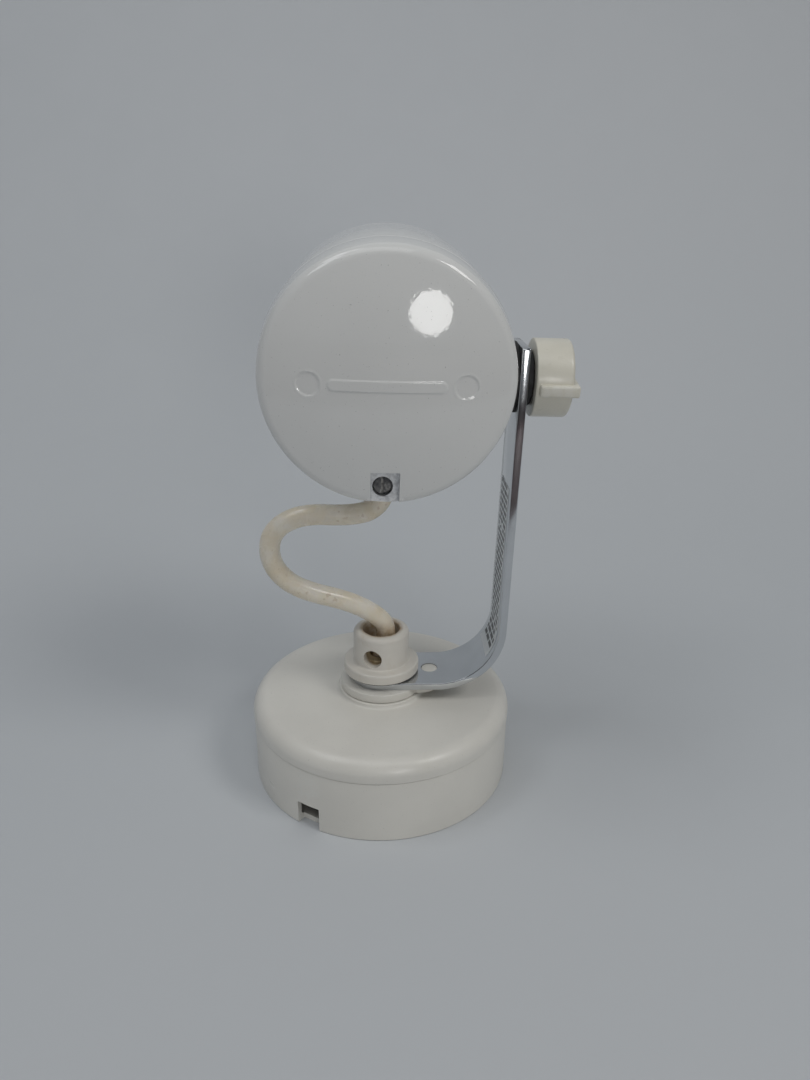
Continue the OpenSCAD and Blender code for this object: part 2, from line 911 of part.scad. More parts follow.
module lamp_capsule() {
    color([0.9, 0.93, 0.95, 0.4])
        head_frame() {
            head_lathe()
                polygon(concat(
                    [[0, -4], [3.4, -4], [5.8, -1.5], [5.8, 20]],
                    arc(0.8, 20, 5, 0, 84, 6),
                    [[0, 25.1], [0, 24.1]],
                    arc(0.8, 20, 4, 84, 0, 6),
                    [[4.8, -1], [0, -1]]));
            translate([-4.6, holder_y + 0.3, head_rise - 1.8])
                cube([9.2, 8, 3.6]);
        }
}

module lamp_filament() {
    color("gray")
        head_frame() {
            along_x(-2.6, focus_y, head_rise)
                cylinder(r = 0.9, h = 5.2);
            for (x = [-1, 1])
                along_y(x * 2.2, -0.9, head_rise)
                    cylinder(r = 0.35, h = focus_y + 0.4);
        }
}

module lamp_pins() {
    color(steel)
        head_frame()
            for (x = [-1, 1])
                along_y(x * 3.2, holder_y - 7, head_rise)
                    cylinder(r = 0.63, h = 7.25);
}

// The head's strip has two ways, on the rear side of the chassis plate
module strip_frame() {
    head_frame()
        translate(strip_at)
            rotate([90, 0, 0])
                children();
}

module head_terminal_block() {
    color(nylon)
        strip_frame()
            terminal_body(2);
}

module head_terminal_tubes() {
    color(brass)
        strip_frame()
            terminal_tubes(2);
}

module head_terminal_screws() {
    color(steel)
        strip_frame()
            terminal_screws(2);
}

module head_terminal_fixing() {
    color(steel)
        strip_frame()
            terminal_fixing(2, 3);
}

module head_earth_screw() {
    color(brass)
        head_frame()
            screw_facing_back(-16, plate_y - 0.05, -11, 3.4, 4);
}

// Rubber grommet round the cable in the drum's wall
module cable_grommet() {
    low = head_rise - head_r;
    bore = cable_d / 2 + gap;
    color(rubber)
        head_frame()
            translate([entry_x, entry_y, 0])
                rotate_extrude()
                    polygon([
                        [bore + 0.4, low - 1], [7, low - 1], [7.4, low - 0.05], [6.1, low - 0.05],
                        [6.1, low + 2.6], [6.8, low + 3], [6.4, low + 4], [bore, low + 4], [bore, low + 1]
                    ]);
}

module head_cord_clamp() {
    color(nylon)
        head_frame()
            translate([entry_x, entry_y, clamp_low])
                mirror([0, 1, 0])
                    cord_clamp();
}

module head_clamp_screws() {
    color(steel)
        head_frame()
            translate([entry_x, entry_y, clamp_low])
                mirror([0, 1, 0])
                    cord_clamp_screws(7);
}

strip_tube_y = plate_y - tube_z;

// Cores from the sheath's end to the bottom of the head's strip
module head_core_live() {
    color(brown_core)
        head_frame()
            tube([
                [0, -15.4, -23.8], [2.2, -17.6, -22.6], [7, -21.5, -21.4], [11.2, -23.6, -20],
                [12.5, strip_tube_y, -17], [12.5, strip_tube_y, -12]
            ], core_r, 8);
}

module head_core_neutral() {
    color(blue_core)
        head_frame()
            tube([
                [1.7, -12.6, -23.8], [4.6, -14.4, -22.4], [12, -19.6, -21.8], [20, -23.4, -20.2],
                [21.5, strip_tube_y, -17], [21.5, strip_tube_y, -12]
            ], core_r, 8);
}

module head_core_earth() {
    color(green_core)
        head_frame()
            tube([
                [-1.7, -12.6, -23.8], [-4, -14.8, -22.6], [-8.5, -19.5, -22.2], [-12.6, -22.6, -20],
                [-15.2, -22.9, -15], [-15.8, -22.8, -12]
            ], core_r, 8);
}

// A lamp lead runs from way i up to the back of the lampholder
module lamp_lead(i) {
    x = strip_at[0] + (i + 0.5) * way;
    end_x = i == 0 ? -3.2 : 3.2;
    tube([
        [x, strip_tube_y, -4], [x, strip_tube_y, -1], [x, strip_tube_y - 1, 2],
        [(x + end_x) / 2 + 2, -29.5 - i, 3 + 7 * i], [end_x + 1.5, -30.5, 3.6 + 5 * i],
        [end_x, -29.5, head_rise], [end_x, holder_y - holder_l - 0.4, head_rise]
    ], 0.9, 8);
}

module lamp_lead_live() {
    color(rubber)
        head_frame()
            lamp_lead(0);
}

module lamp_lead_neutral() {
    color("white")
        head_frame()
            lamp_lead(1);
}

nut_af_r = 5.8;
stud_end = knob_x + knob_l - 4;

module pivot_stud() {
    color(steel)
        head_frame()
            along_x(boss_face - 10)
                cylinder(r = stud_r, h = stud_end - boss_face + 10);
}

module pivot_nut() {
    color(steel)
        head_frame()
            difference() {
                along_x(boss_face - 9.4)
                    cylinder(r = nut_af_r, h = 4.8, $fn = 6);
                along_x(boss_face - 12)
                    cylinder(r = stud_r + 0.05, h = 12);
            }
}

// ---------------------------------------------------------------- knob
insert_r = 5;
insert_l = 11;
wing_r = 18.6;
wing_t = 5;
wing_turn = 8;

module knob() {
    color(cream)
        upright_frame()
            difference() {
                union() {
                    translate([0, 0, pivot_z])
                        rotate([0, 90, 0])
                            rotate_extrude()
                                polygon(concat(
                                    [[0, knob_x], [knob_d / 2 - 0.5, knob_x], [knob_d / 2, knob_x + 0.5]],
                                    arc(knob_d / 2 - 2, knob_end - 2, 2, 0, 90, 5),
                                    [[0, knob_end]]));
                    translate([0, 0, pivot_z])
                        rotate([wing_turn, 0, 0])
                            translate([knob_x + 1.2, -wing_r, -wing_t / 2])
                                cube([knob_l + 1, 2 * wing_r, wing_t]);
                }
                along_x(knob_x - 1, 0, pivot_z)
                    cylinder(r = insert_r + 0.05, h = insert_l + 1);
                along_x(knob_x - 1, 0, pivot_z)
                    cylinder(r = stud_r + 0.6, h = knob_l - 1.5);
            }
}

module knob_insert() {
    color(brass)
        upright_frame()
            difference() {
                along_x(knob_x + 0.1, 0, pivot_z)
                    cylinder(r = insert_r, h = insert_l - 0.1);
                along_x(knob_x - 1, 0, pivot_z)
                    cylinder(r = stud_r + run, h = insert_l + 2);
            }
}

base_housing();
base_cover();
cover_lock_screw();
stem();
base_terminal_block();
base_terminal_tubes();
base_terminal_screws();
base_terminal_fixing();
base_earth_screw();
base_cord_clamp();
base_clamp_screws();
base_core_live();
base_core_neutral();
base_core_earth();
stop_ring();
bracket();
nut_washer();
rating_label();
inner_washer();
outer_washer();
cable();
clamp_nut();
head_drum();
rear_cover();
rear_cover_screw();
front_bezel();
bezel_screws();
front_glass();
glass_gasket();
reflector();
chassis_plate();
chassis_screws();
lampholder();
lampholder_screws();
lamp_capsule();
lamp_filament();
lamp_pins();
head_terminal_block();
head_terminal_tubes();
head_terminal_screws();
head_terminal_fixing();
head_earth_screw();
cable_grommet();
head_cord_clamp();
head_clamp_screws();
head_core_live();
head_core_neutral();
head_core_earth();
lamp_lead_live();
lamp_lead_neutral();
pivot_stud();
pivot_nut();
knob();
knob_insert();
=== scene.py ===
"""Adjustable spotlight on a round base: the looks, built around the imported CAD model."""
import math
import bmesh
import bpy
from mathutils import Matrix, Vector


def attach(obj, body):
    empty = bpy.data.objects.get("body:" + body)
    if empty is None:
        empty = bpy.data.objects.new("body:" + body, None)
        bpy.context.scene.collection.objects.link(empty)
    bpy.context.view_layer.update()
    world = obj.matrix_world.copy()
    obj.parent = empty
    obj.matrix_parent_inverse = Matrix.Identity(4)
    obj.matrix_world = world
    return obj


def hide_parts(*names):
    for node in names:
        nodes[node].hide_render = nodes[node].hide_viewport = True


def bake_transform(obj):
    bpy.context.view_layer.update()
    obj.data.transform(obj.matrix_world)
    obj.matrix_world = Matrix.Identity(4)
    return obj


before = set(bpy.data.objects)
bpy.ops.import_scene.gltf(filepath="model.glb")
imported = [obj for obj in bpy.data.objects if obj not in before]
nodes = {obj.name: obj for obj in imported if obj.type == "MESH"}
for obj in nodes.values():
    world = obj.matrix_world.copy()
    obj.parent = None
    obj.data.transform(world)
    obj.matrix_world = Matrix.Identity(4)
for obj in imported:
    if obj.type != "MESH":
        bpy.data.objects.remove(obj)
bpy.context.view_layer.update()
scene = bpy.context.scene
MM = 0.001

# ------------------------------------------------------------------ camera
YAW, PITCH, ROLL = (math.radians(a) for a in (1.821, 22.069, 0.595))


def make_camera():
    forward = Vector((math.sin(YAW) * math.cos(PITCH), math.cos(YAW) * math.cos(PITCH), -math.sin(PITCH)))
    level = Vector((math.cos(YAW), -math.sin(YAW), 0))
    right = math.cos(ROLL) * level + math.sin(ROLL) * level.cross(forward)
    up = right.cross(forward)
    data = bpy.data.cameras.new("camera")
    data.lens = 27.03
    data.sensor_width = 36
    data.clip_start = 0.01
    camera = bpy.data.objects.new("camera", data)
    scene.collection.objects.link(camera)
    turn = Matrix((right, up, -forward)).transposed().to_4x4()
    camera.matrix_world = Matrix.Translation((0, -0.34506, 0.25867)) @ turn
    scene.camera = camera


make_camera()

# ------------------------------------------------------------------ the CAD model's sizes, in mm
BASE_R = 62.2
HOUSING_H = 30.6
COVER_TOP = 41.0
BOSS_TOP = 43.2
RING_Z = 43.5
FOOT_Z = 47.7
BAR_T = 3.5
NUT_Z = 52.1
NUT_TOP = 73.6
BEND_X, BEND_Z, BEND_R = 26.5, 79.2, 31.5
LEAN = math.radians(1.2)
PIVOT_Z = 194.3
HEAD_R = 51.0
HEAD_IN = 49.0
HEAD_RISE = 6.0
HEAD_BACK = 41.0
SEAM_BACK = 25.0
HEAD_FRONT = 43.0
BOSS_FACE = 51.7
ARM_IN, ARM_OUT = 54.5, 58.0
INNER_WASHER_X = 52.0
KNOB_X, KNOB_END, KNOB_R = 61.3, 77.0, 16.5
ENTRY_Y = -13.5
DOME_TURN = math.radians(14)
RIM_R = 5.0
FACE_R = HEAD_R - 1.2
DOME_R = (FACE_R - RIM_R) / math.sin(DOME_TURN) + RIM_R
DOME_Y = RIM_R - HEAD_BACK + (DOME_R - RIM_R) * math.cos(DOME_TURN)


def shift(x, y, z):
    return Matrix.Translation((x, y, z))


def turn(degrees, axis):
    return Matrix.Rotation(math.radians(degrees), 4, axis)


WORLD = Matrix.Identity(4)
UPRIGHT = shift(BEND_X, 0, BEND_Z) @ Matrix.Rotation(LEAN, 4, "Y") @ shift(-BEND_X, 0, -BEND_Z)
HEAD = UPRIGHT @ shift(0, 0, PIVOT_Z) @ turn(3, "X")
DRUM = HEAD @ shift(0, 0, HEAD_RISE) @ turn(-90, "X")
PIVOT = UPRIGHT @ shift(0, 0, PIVOT_Z) @ turn(90, "Y")

# ------------------------------------------------------------------ mesh helpers


def soften(corners, steps=5):
    """Rounds the corners of a closed outline: each corner is (x, y) or (x, y, radius)."""
    out = []
    count = len(corners)
    for i, corner in enumerate(corners):
        here = Vector(corner[:2])
        radius = corner[2] if len(corner) > 2 else 0
        back = Vector(corners[i - 1][:2]) - here
        ahead = Vector(corners[(i + 1) % count][:2]) - here
        if radius <= 0 or back.length < 1e-6 or ahead.length < 1e-6:
            out.append(here)
            continue
        u, v = back.normalized(), ahead.normalized()
        half = math.acos(max(-1, min(1, u.dot(v)))) / 2
        if half > math.radians(89):
            out.append(here)
            continue
        reach = min(radius / math.tan(half), back.length * 0.49, ahead.length * 0.49)
        radius = reach * math.tan(half)
        centre = here + (u + v).normalized() * radius / math.sin(half)
        a = here + u * reach - centre
        b = here + v * reach - centre
        start = math.atan2(a.y, a.x)
        sweep = (math.atan2(b.y, b.x) - start + math.pi) % (2 * math.pi) - math.pi
        for k in range(steps + 1):
            angle = start + sweep * k / steps
            out.append(centre + radius * Vector((math.cos(angle), math.sin(angle))))
    return out


def arc(x, y, r, a, b, n=8):
    """Points of an arc about (x, y), from angle a to angle b in degrees."""
    angles = [math.radians(a + (b - a) * i / n) for i in range(n + 1)]
    return [(x + r * math.cos(t), y + r * math.sin(t)) for t in angles]


def lathe(profile, place=WORLD, around=160, bm=None):
    """Turns a closed outline of (radius, height) about the local Z axis of place."""
    bm = bm or bmesh.new()
    to_row = Matrix.Scale(MM, 4) @ place
    rings = []
    for k in range(around):
        c, s = math.cos(2 * math.pi * k / around), math.sin(2 * math.pi * k / around)
        rings.append([bm.verts.new(to_row @ Vector((max(p[0], 0) * c, max(p[0], 0) * s, p[1]))) for p in profile])
    count = len(profile)
    for k in range(around):
        near, far = rings[k], rings[(k + 1) % around]
        for i in range(count):
            j = (i + 1) % count
            if profile[i][0] <= 1e-6 and profile[j][0] <= 1e-6:
                continue
            bm.faces.new((near[i], near[j], far[j], far[i]))
    return bm


def clean(bm):
    bmesh.ops.remove_doubles(bm, verts=bm.verts, dist=1e-7)
    bmesh.ops.dissolve_degenerate(bm, edges=bm.edges, dist=1e-8)
    bmesh.ops.recalc_face_normals(bm, faces=bm.faces)
    return bm


def slab(outline, low, high, radius=0.4, place=WORLD, bm=None, steps=3):
    """A plate of that outline between heights low and high, with rounded edges."""
    bm = bm or bmesh.new()
    to_row = Matrix.Scale(MM, 4) @ place
    count = len(outline)
    flat = [Vector(p[:2]) for p in outline]
    area = sum(flat[i - 1].x * flat[i].y - flat[i].x * flat[i - 1].y for i in range(count))
    side = 1 if area > 0 else -1
    normals = []
    for i in range(count):
        along = (flat[(i + 1) % count] - flat[i - 1]).normalized()
        normals.append(Vector((along.y, -along.x)) * side)
    quarter = [math.pi / 2 * k / steps for k in range(steps + 1)]
    levels = [(radius * (1 - math.sin(a)), low + radius * (1 - math.cos(a))) for a in quarter]
    levels += [(inset, high - (z - low)) for inset, z in reversed(levels)]
    rings = [[bm.verts.new(to_row @ Vector((*(flat[i] - normals[i] * inset), z))) for i in range(count)]
             for inset, z in levels]
    for lower, upper in zip(rings, rings[1:]):
        for i in range(count):
            j = (i + 1) % count
            bm.faces.new((lower[i], lower[j], upper[j], upper[i]))
    bm.faces.new(rings[0][::-1])
    bm.faces.new(rings[-1])
    return bm


def block(low, high, radius=0.4, place=WORLD, bm=None):
    """A box between two corners, with rounded edges."""
    part = bmesh.new()
    bmesh.ops.create_cube(part, size=1)
    for v in part.verts:
        v.co = Vector(((low[i] + high[i]) / 2 + v.co[i] * (high[i] - low[i]) for i in range(3)))
    if radius > 0:
        bmesh.ops.bevel(part, geom=part.edges[:], offset=radius, segments=3, profile=0.5, affect="EDGES")
    part.transform(Matrix.Scale(MM, 4) @ place)
    return joined(bm, part) if bm else part


def joined(bm, part):
    """Adds part's faces to bm."""
    mesh = bpy.data.meshes.new("part")
    part.to_mesh(mesh)
    part.free()
    bm.from_mesh(mesh)
    bpy.data.meshes.remove(mesh)
    return bm


def rod(r, low, high, place=WORLD, around=48, flare=0.0):
    """A closed cylinder along local Z. flare widens its top end."""
    return clean(lathe([(0, low), (r, low), (r, high - flare), (r + flare, high), (0, high)], place, around))


def carved(bm, *steps):
    """bm after a row of boolean steps, each ("DIFFERENCE" or "UNION", tool)."""
    made = []

    def holder(tool):
        mesh = bpy.data.meshes.new("tool")
        clean(tool).to_mesh(mesh)
        tool.free()
        made.append(bpy.data.objects.new("tool", mesh))
        scene.collection.objects.link(made[-1])
        return made[-1]

    body = holder(bm)
    for operation, tool in steps:
        m = body.modifiers.new("step", "BOOLEAN")
        m.operation = operation
        m.solver = "EXACT"
        m.object = holder(tool)
    result = bmesh.new()
    result.from_object(body, bpy.context.evaluated_depsgraph_get())
    for o in made:
        mesh = o.data
        bpy.data.objects.remove(o)
        bpy.data.meshes.remove(mesh)
    return result


def piece(name, bm, body, material, cad=(), sharp=32):
    """A finished piece that rides on body and stands for the CAD nodes in cad."""
    clean(bm)
    for f in bm.faces:
        f.smooth = True
    for e in bm.edges:
        e.smooth = len(e.link_faces) == 2 and e.calc_face_angle(0) < math.radians(sharp)
    mesh = bpy.data.meshes.new(name)
    bm.to_mesh(mesh)
    bm.free()
    ob = bpy.data.objects.new(name, mesh)
    scene.collection.objects.link(ob)
    mesh.materials.append(material)
    if body:
        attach(ob, body)
    if cad:
        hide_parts(*cad)
    return ob


# ------------------------------------------------------------------ materials


class Graph:
    """A material's node tree, with short calls for the nodes used here."""

    def __init__(self, name):
        self.material = bpy.data.materials.new(name)
        self.material.use_nodes = True
        self.tree = self.material.node_tree
        self.shader = self.tree.nodes["Principled BSDF"]
        self.place = self.node("ShaderNodeTexCoord").outputs["Object"]

    def node(self, kind, **settings):
        n = self.tree.nodes.new(kind)
        for key, value in settings.items():
            setattr(n, key, value)
        return n

    def link(self, out, socket):
        self.tree.links.new(out, socket)

    def noise(self, scale, detail=3.0, rough=0.55, distortion=0.0, place=None, stretch=None):
        n = self.node("ShaderNodeTexNoise")
        n.inputs["Scale"].default_value = scale
        n.inputs["Detail"].default_value = detail
        n.inputs["Roughness"].default_value = rough
        n.inputs["Distortion"].default_value = distortion
        source = place or self.place
        if stretch:
            mapping = self.node("ShaderNodeMapping")
            mapping.inputs["Scale"].default_value = stretch
            self.link(source, mapping.inputs["Vector"])
            source = mapping.outputs["Vector"]
        self.link(source, n.inputs["Vector"])
        return n.outputs["Fac"]

    def ramp(self, value, low, high, to_low=0.0, to_high=1.0):
        n = self.node("ShaderNodeMapRange", interpolation_type="SMOOTHSTEP")
        n.inputs["From Min"].default_value = low
        n.inputs["From Max"].default_value = high
        n.inputs["To Min"].default_value = to_low
        n.inputs["To Max"].default_value = to_high
        self.link(value, n.inputs["Value"])
        return n.outputs["Result"]

    def math(self, operation, a, b=None):
        n = self.node("ShaderNodeMath", operation=operation)
        for socket, value in zip(n.inputs, (a, b)):
            if isinstance(value, (int, float)):
                socket.default_value = value
            elif value is not None:
                self.link(value, socket)
        return n.outputs[0]

    def mix(self, factor, a, b, blend="MIX"):
        n = self.node("ShaderNodeMix", data_type="RGBA", blend_type=blend)
        self.link(factor, n.inputs["Factor"])
        for socket, value in ((n.inputs[6], a), (n.inputs[7], b)):
            if isinstance(value, tuple):
                socket.default_value = (*value, 1)
            else:
                self.link(value, socket)
        return n.outputs[2]

    def axis(self, index):
        n = self.node("ShaderNodeSeparateXYZ")
        self.link(self.place, n.inputs[0])
        return n.outputs[index]

    def pointiness(self):
        return self.node("ShaderNodeNewGeometry").outputs["Pointiness"]

    def bump(self, heights):
        """heights: (value, distance in metres), the last one on top."""
        normal = None
        for value, distance in heights:
            n = self.node("ShaderNodeBump")
            n.inputs["Strength"].default_value = 1.0
            n.inputs["Distance"].default_value = distance
            self.link(value, n.inputs["Height"])
            if normal:
                self.link(normal, n.inputs["Normal"])
            normal = n.outputs["Normal"]
        self.link(normal, self.shader.inputs["Normal"])


def tinted(colour, factor):
    return tuple(min(1.0, c * factor) for c in colour)


def surface(name, colour, rough, mottle=0.05, patch=45, grain=900, bump=4e-6, metal=0.0, stain=None,
            stain_at=(0.58, 0.72), specks=0.0, edge=None, coat=0.0, wave=0.0, brushed=None, spec=0.5):
    """Painted, moulded or metal surface: colour patches, stains, specks, worn edges, uneven gloss and fine relief."""
    g = Graph(name)
    patches = g.noise(patch, 5)
    out = g.mix(g.ramp(patches, 0.3, 0.7), tinted(colour, 1 - mottle), tinted(colour, 1 + mottle))
    if stain:
        out = g.mix(g.ramp(g.noise(patch * 0.6, 6, 0.65, 0.6), *stain_at), out, stain)
    if specks:
        spots = g.ramp(g.noise(1500, 1.0), 0.74, 0.78, 0.0, specks)
        out = g.mix(spots, out, tinted(colour, 0.35))
    if edge:
        worn = g.math("MULTIPLY", g.ramp(g.pointiness(), 0.51, 0.56), g.ramp(g.noise(300, 4), 0.4, 0.6))
        out = g.mix(worn, out, edge)
    g.link(out, g.shader.inputs["Base Color"])
    smears = g.noise(patch * 1.8, 6, 0.6, 0.8)
    g.link(g.ramp(smears, 0.25, 0.75, rough[0], rough[1]), g.shader.inputs["Roughness"])
    if brushed:
        fine = g.noise(1.0, 3, 0.6, stretch=brushed)
    else:
        fine = g.noise(grain, 3)
    heights = [(fine, bump)]
    if wave:
        heights.append((g.noise(680, 0.5), wave))
    g.bump(heights)
    g.shader.inputs["Metallic"].default_value = metal
    g.shader.inputs["Specular IOR Level"].default_value = spec
    if coat:
        g.shader.inputs["Coat Weight"].default_value = coat
        g.shader.inputs["Coat Roughness"].default_value = 0.08
    return g.material


HEAD_WHITE = surface("head_enamel", (0.76, 0.765, 0.75), (0.03, 0.06), mottle=0.012, patch=24, grain=1400,
                     bump=4e-7, specks=0.5, wave=1.5e-5, coat=0.0, edge=(0.80, 0.80, 0.79))
IVORY = surface("base_ivory", (0.73, 0.71, 0.655), (0.27, 0.40), mottle=0.03, patch=30, grain=2200, bump=4e-6,
                stain=(0.66, 0.64, 0.56), stain_at=(0.60, 0.80), specks=0.35, edge=(0.74, 0.73, 0.68))


def nut_with_painted_bore_shade():
    """The nut's plastic, with random stain patches and brown painted shade in the bore and the inner ends of the
    cross holes.
    """
    g = Graph("nut_ivory")
    colour = (0.70, 0.67, 0.61)
    patches = g.noise(80, 5)
    out = g.mix(g.ramp(patches, 0.3, 0.7), tinted(colour, 0.97), tinted(colour, 1.03))
    out = g.mix(g.ramp(g.noise(130, 5, 0.6, 0.6), 0.55, 0.80, 0.0, 0.6), out, (0.60, 0.54, 0.44))
    # painted shade: everything within 9.2 to 11.2 mm of the axis, the bore and the cross holes' inner ends, is
    # darkened brown, unevenly
    far = g.node("ShaderNodeVectorMath", operation="LENGTH")
    flat = g.node("ShaderNodeVectorMath", operation="MULTIPLY")
    g.link(g.place, flat.inputs[0])
    flat.inputs[1].default_value = (1, 1, 0)
    g.link(flat.outputs[0], far.inputs[0])
    bore = g.ramp(far.outputs["Value"], 0.0112, 0.0092)
    out = g.mix(g.math("MULTIPLY", bore, g.ramp(g.noise(260, 5), 0.25, 0.65, 0.35, 0.9)), out, (0.36, 0.25, 0.13))
    g.link(out, g.shader.inputs["Base Color"])
    g.link(g.ramp(g.noise(140, 6, 0.6, 0.8), 0.25, 0.75, 0.30, 0.44), g.shader.inputs["Roughness"])
    g.bump([(g.noise(2600, 3), 3e-6), (g.noise(300, 2), 8e-6)])
    return g.material


CREAM = surface("knob_cream", (0.70, 0.675, 0.585), (0.26, 0.38), mottle=0.03, patch=90, grain=2600, bump=2.5e-6,
                stain=(0.62, 0.58, 0.47), stain_at=(0.60, 0.78), specks=0.25, edge=(0.75, 0.73, 0.66), coat=0.1)
BAR_METAL = surface("bar_metal", (0.60, 0.62, 0.64), (0.07, 0.13), mottle=0.04, patch=60, metal=1.0, bump=4e-7,
                    grain=2600, stain=(0.50, 0.50, 0.50), stain_at=(0.60, 0.75))
RUBBER = surface("black_rubber", (0.018, 0.018, 0.019), (0.5, 0.75), mottle=0.3, patch=200, grain=2500, bump=9e-6,
                 edge=(0.05, 0.05, 0.05))
GREY_RUBBER = surface("grey_rubber", (0.36, 0.36, 0.35), (0.55, 0.75), mottle=0.1, patch=160, grain=2500, bump=8e-6)
STEEL = surface("steel", (0.56, 0.57, 0.58), (0.28, 0.46), mottle=0.08, patch=260, metal=1.0, bump=2.5e-6,
                brushed=(1800, 1800, 200), stain=(0.38, 0.36, 0.33), edge=(0.75, 0.75, 0.75))
DARK_STEEL = surface("dark_steel", (0.10, 0.10, 0.105), (0.35, 0.6), mottle=0.2, patch=300, metal=0.8, bump=6e-6,
                     stain=(0.16, 0.12, 0.09), edge=(0.45, 0.44, 0.42))
BRASS = surface("brass", (0.70, 0.53, 0.24), (0.25, 0.45), mottle=0.1, patch=260, metal=1.0, bump=3e-6,
                stain=(0.45, 0.33, 0.16), edge=(0.85, 0.72, 0.42))
CERAMIC = surface("ceramic", (0.82, 0.80, 0.74), (0.45, 0.7), mottle=0.04, patch=150, grain=3000, bump=8e-6,
                  stain=(0.62, 0.57, 0.49), specks=0.4)
NYLON = surface("nylon", (0.80, 0.78, 0.70), (0.35, 0.5), mottle=0.04, patch=150, grain=2500, bump=3e-6,
                stain=(0.70, 0.66, 0.55))
PLATED = surface("chassis_steel", (0.58, 0.57, 0.53), (0.25, 0.45), mottle=0.08, patch=80, metal=1.0, bump=2e-6,
                 brushed=(1200, 1200, 40), stain=(0.48, 0.45, 0.36), edge=(0.78, 0.77, 0.74))
BARE = surface("bare_casting", (0.72, 0.73, 0.74), (0.42, 0.62), mottle=0.18, patch=500, metal=0.75, grain=1500,
               bump=3.5e-5, specks=0.6, edge=(0.95, 0.95, 0.95))
TUNGSTEN = surface("tungsten", (0.30, 0.29, 0.28), (0.35, 0.5), mottle=0.1, patch=900, metal=1.0, bump=4e-6,
                   brushed=(9000, 200, 200))
STEM = surface("stem_plated", (0.62, 0.53, 0.36), (0.35, 0.5), mottle=0.1, patch=200, metal=0.7,
               stain=(0.34, 0.24, 0.13))
CORES = {"brown": (0.22, 0.11, 0.055), "blue": (0.06, 0.14, 0.38), "green": (0.30, 0.44, 0.09),
         "black": (0.03, 0.03, 0.03), "white": (0.80, 0.79, 0.74)}
CORE = {k: surface("core_" + k, v, (0.32, 0.5), mottle=0.08, patch=300, grain=2500, bump=4e-6)
        for k, v in CORES.items()}


def polished_reflector():
    """Anodised reflector: bright metal with a soft ripple and an uneven haze."""
    g = Graph("reflector_metal")
    haze = g.noise(90, 5)
    g.link(g.mix(g.ramp(haze, 0.35, 0.75), (0.90, 0.91, 0.92), (0.80, 0.81, 0.83)), g.shader.inputs["Base Color"])
    g.link(g.ramp(g.noise(160, 5, 0.6, 0.5), 0.3, 0.7, 0.07, 0.16), g.shader.inputs["Roughness"])
    g.bump([(g.noise(330, 1.0), 3e-5), (g.noise(2500, 2), 1e-6)])
    g.shader.inputs["Metallic"].default_value = 1.0
    return g.material


def clear(name, colour, thin, dust):
    """Clear glass with faint dust and smears."""
    g = Graph(name)
    smears = g.noise(70, 6, 0.6, 1.2)
    g.link(g.mix(g.ramp(smears, 0.45, 0.75), colour, tinted(colour, 0.93)), g.shader.inputs["Base Color"])
    g.link(g.ramp(smears, 0.4, 0.8, 0.01, dust), g.shader.inputs["Roughness"])
    g.bump([(g.noise(40, 2), 4e-6)])
    g.shader.inputs["Transmission Weight"].default_value = 1.0
    g.shader.inputs["IOR"].default_value = thin
    return g.material


REFLECTOR = polished_reflector()
GLASS = clear("front_glass", (0.95, 0.97, 0.965), 1.45, 0.12)
QUARTZ = clear("quartz", (0.97, 0.98, 0.985), 1.45, 0.08)


def aged_cable():
    """Old cream sheath: yellowed in patches, with a few brown worn spots, brown painted shade where it goes down into
    the nut, and faint rings along it.
    """
    g = Graph("cable_sheath")
    cream, yellow, brown = (0.84, 0.79, 0.69), (0.78, 0.69, 0.53), (0.42, 0.28, 0.15)
    out = g.mix(g.ramp(g.noise(48, 5, 0.6, 0.4), 0.36, 0.68), cream, yellow)
    out = g.mix(g.ramp(g.noise(150, 4), 0.45, 0.75, 0.0, 0.35), out, tinted(cream, 1.08))
    # painted shade: the sheath inside the nut is darkened brown, unevenly, fading out up to 82 mm high
    low = g.ramp(g.axis(2), 0.082, 0.070)
    out = g.mix(g.math("MULTIPLY", low, g.ramp(g.noise(220, 5), 0.30, 0.62, 0.25, 0.85)), out, brown)
    worn = g.math("MULTIPLY", g.ramp(g.noise(420, 3), 0.60, 0.68), g.ramp(g.noise(35, 3), 0.5, 0.62))
    out = g.mix(g.math("MULTIPLY", worn, 0.3), out, brown)
    g.link(out, g.shader.inputs["Base Color"])
    g.link(g.ramp(g.noise(120, 5, 0.6, 0.6), 0.3, 0.7, 0.20, 0.34), g.shader.inputs["Roughness"])
    g.bump([(g.noise(160, 2), 3.5e-5), (g.noise(1800, 3), 3e-6)])
    g.shader.inputs["Subsurface Weight"].default_value = 0.12
    g.shader.inputs["Subsurface Radius"].default_value = (0.004, 0.003, 0.0015)
    g.shader.inputs["Coat Weight"].default_value = 0.25
    g.shader.inputs["Coat Roughness"].default_value = 0.12
    return g.material


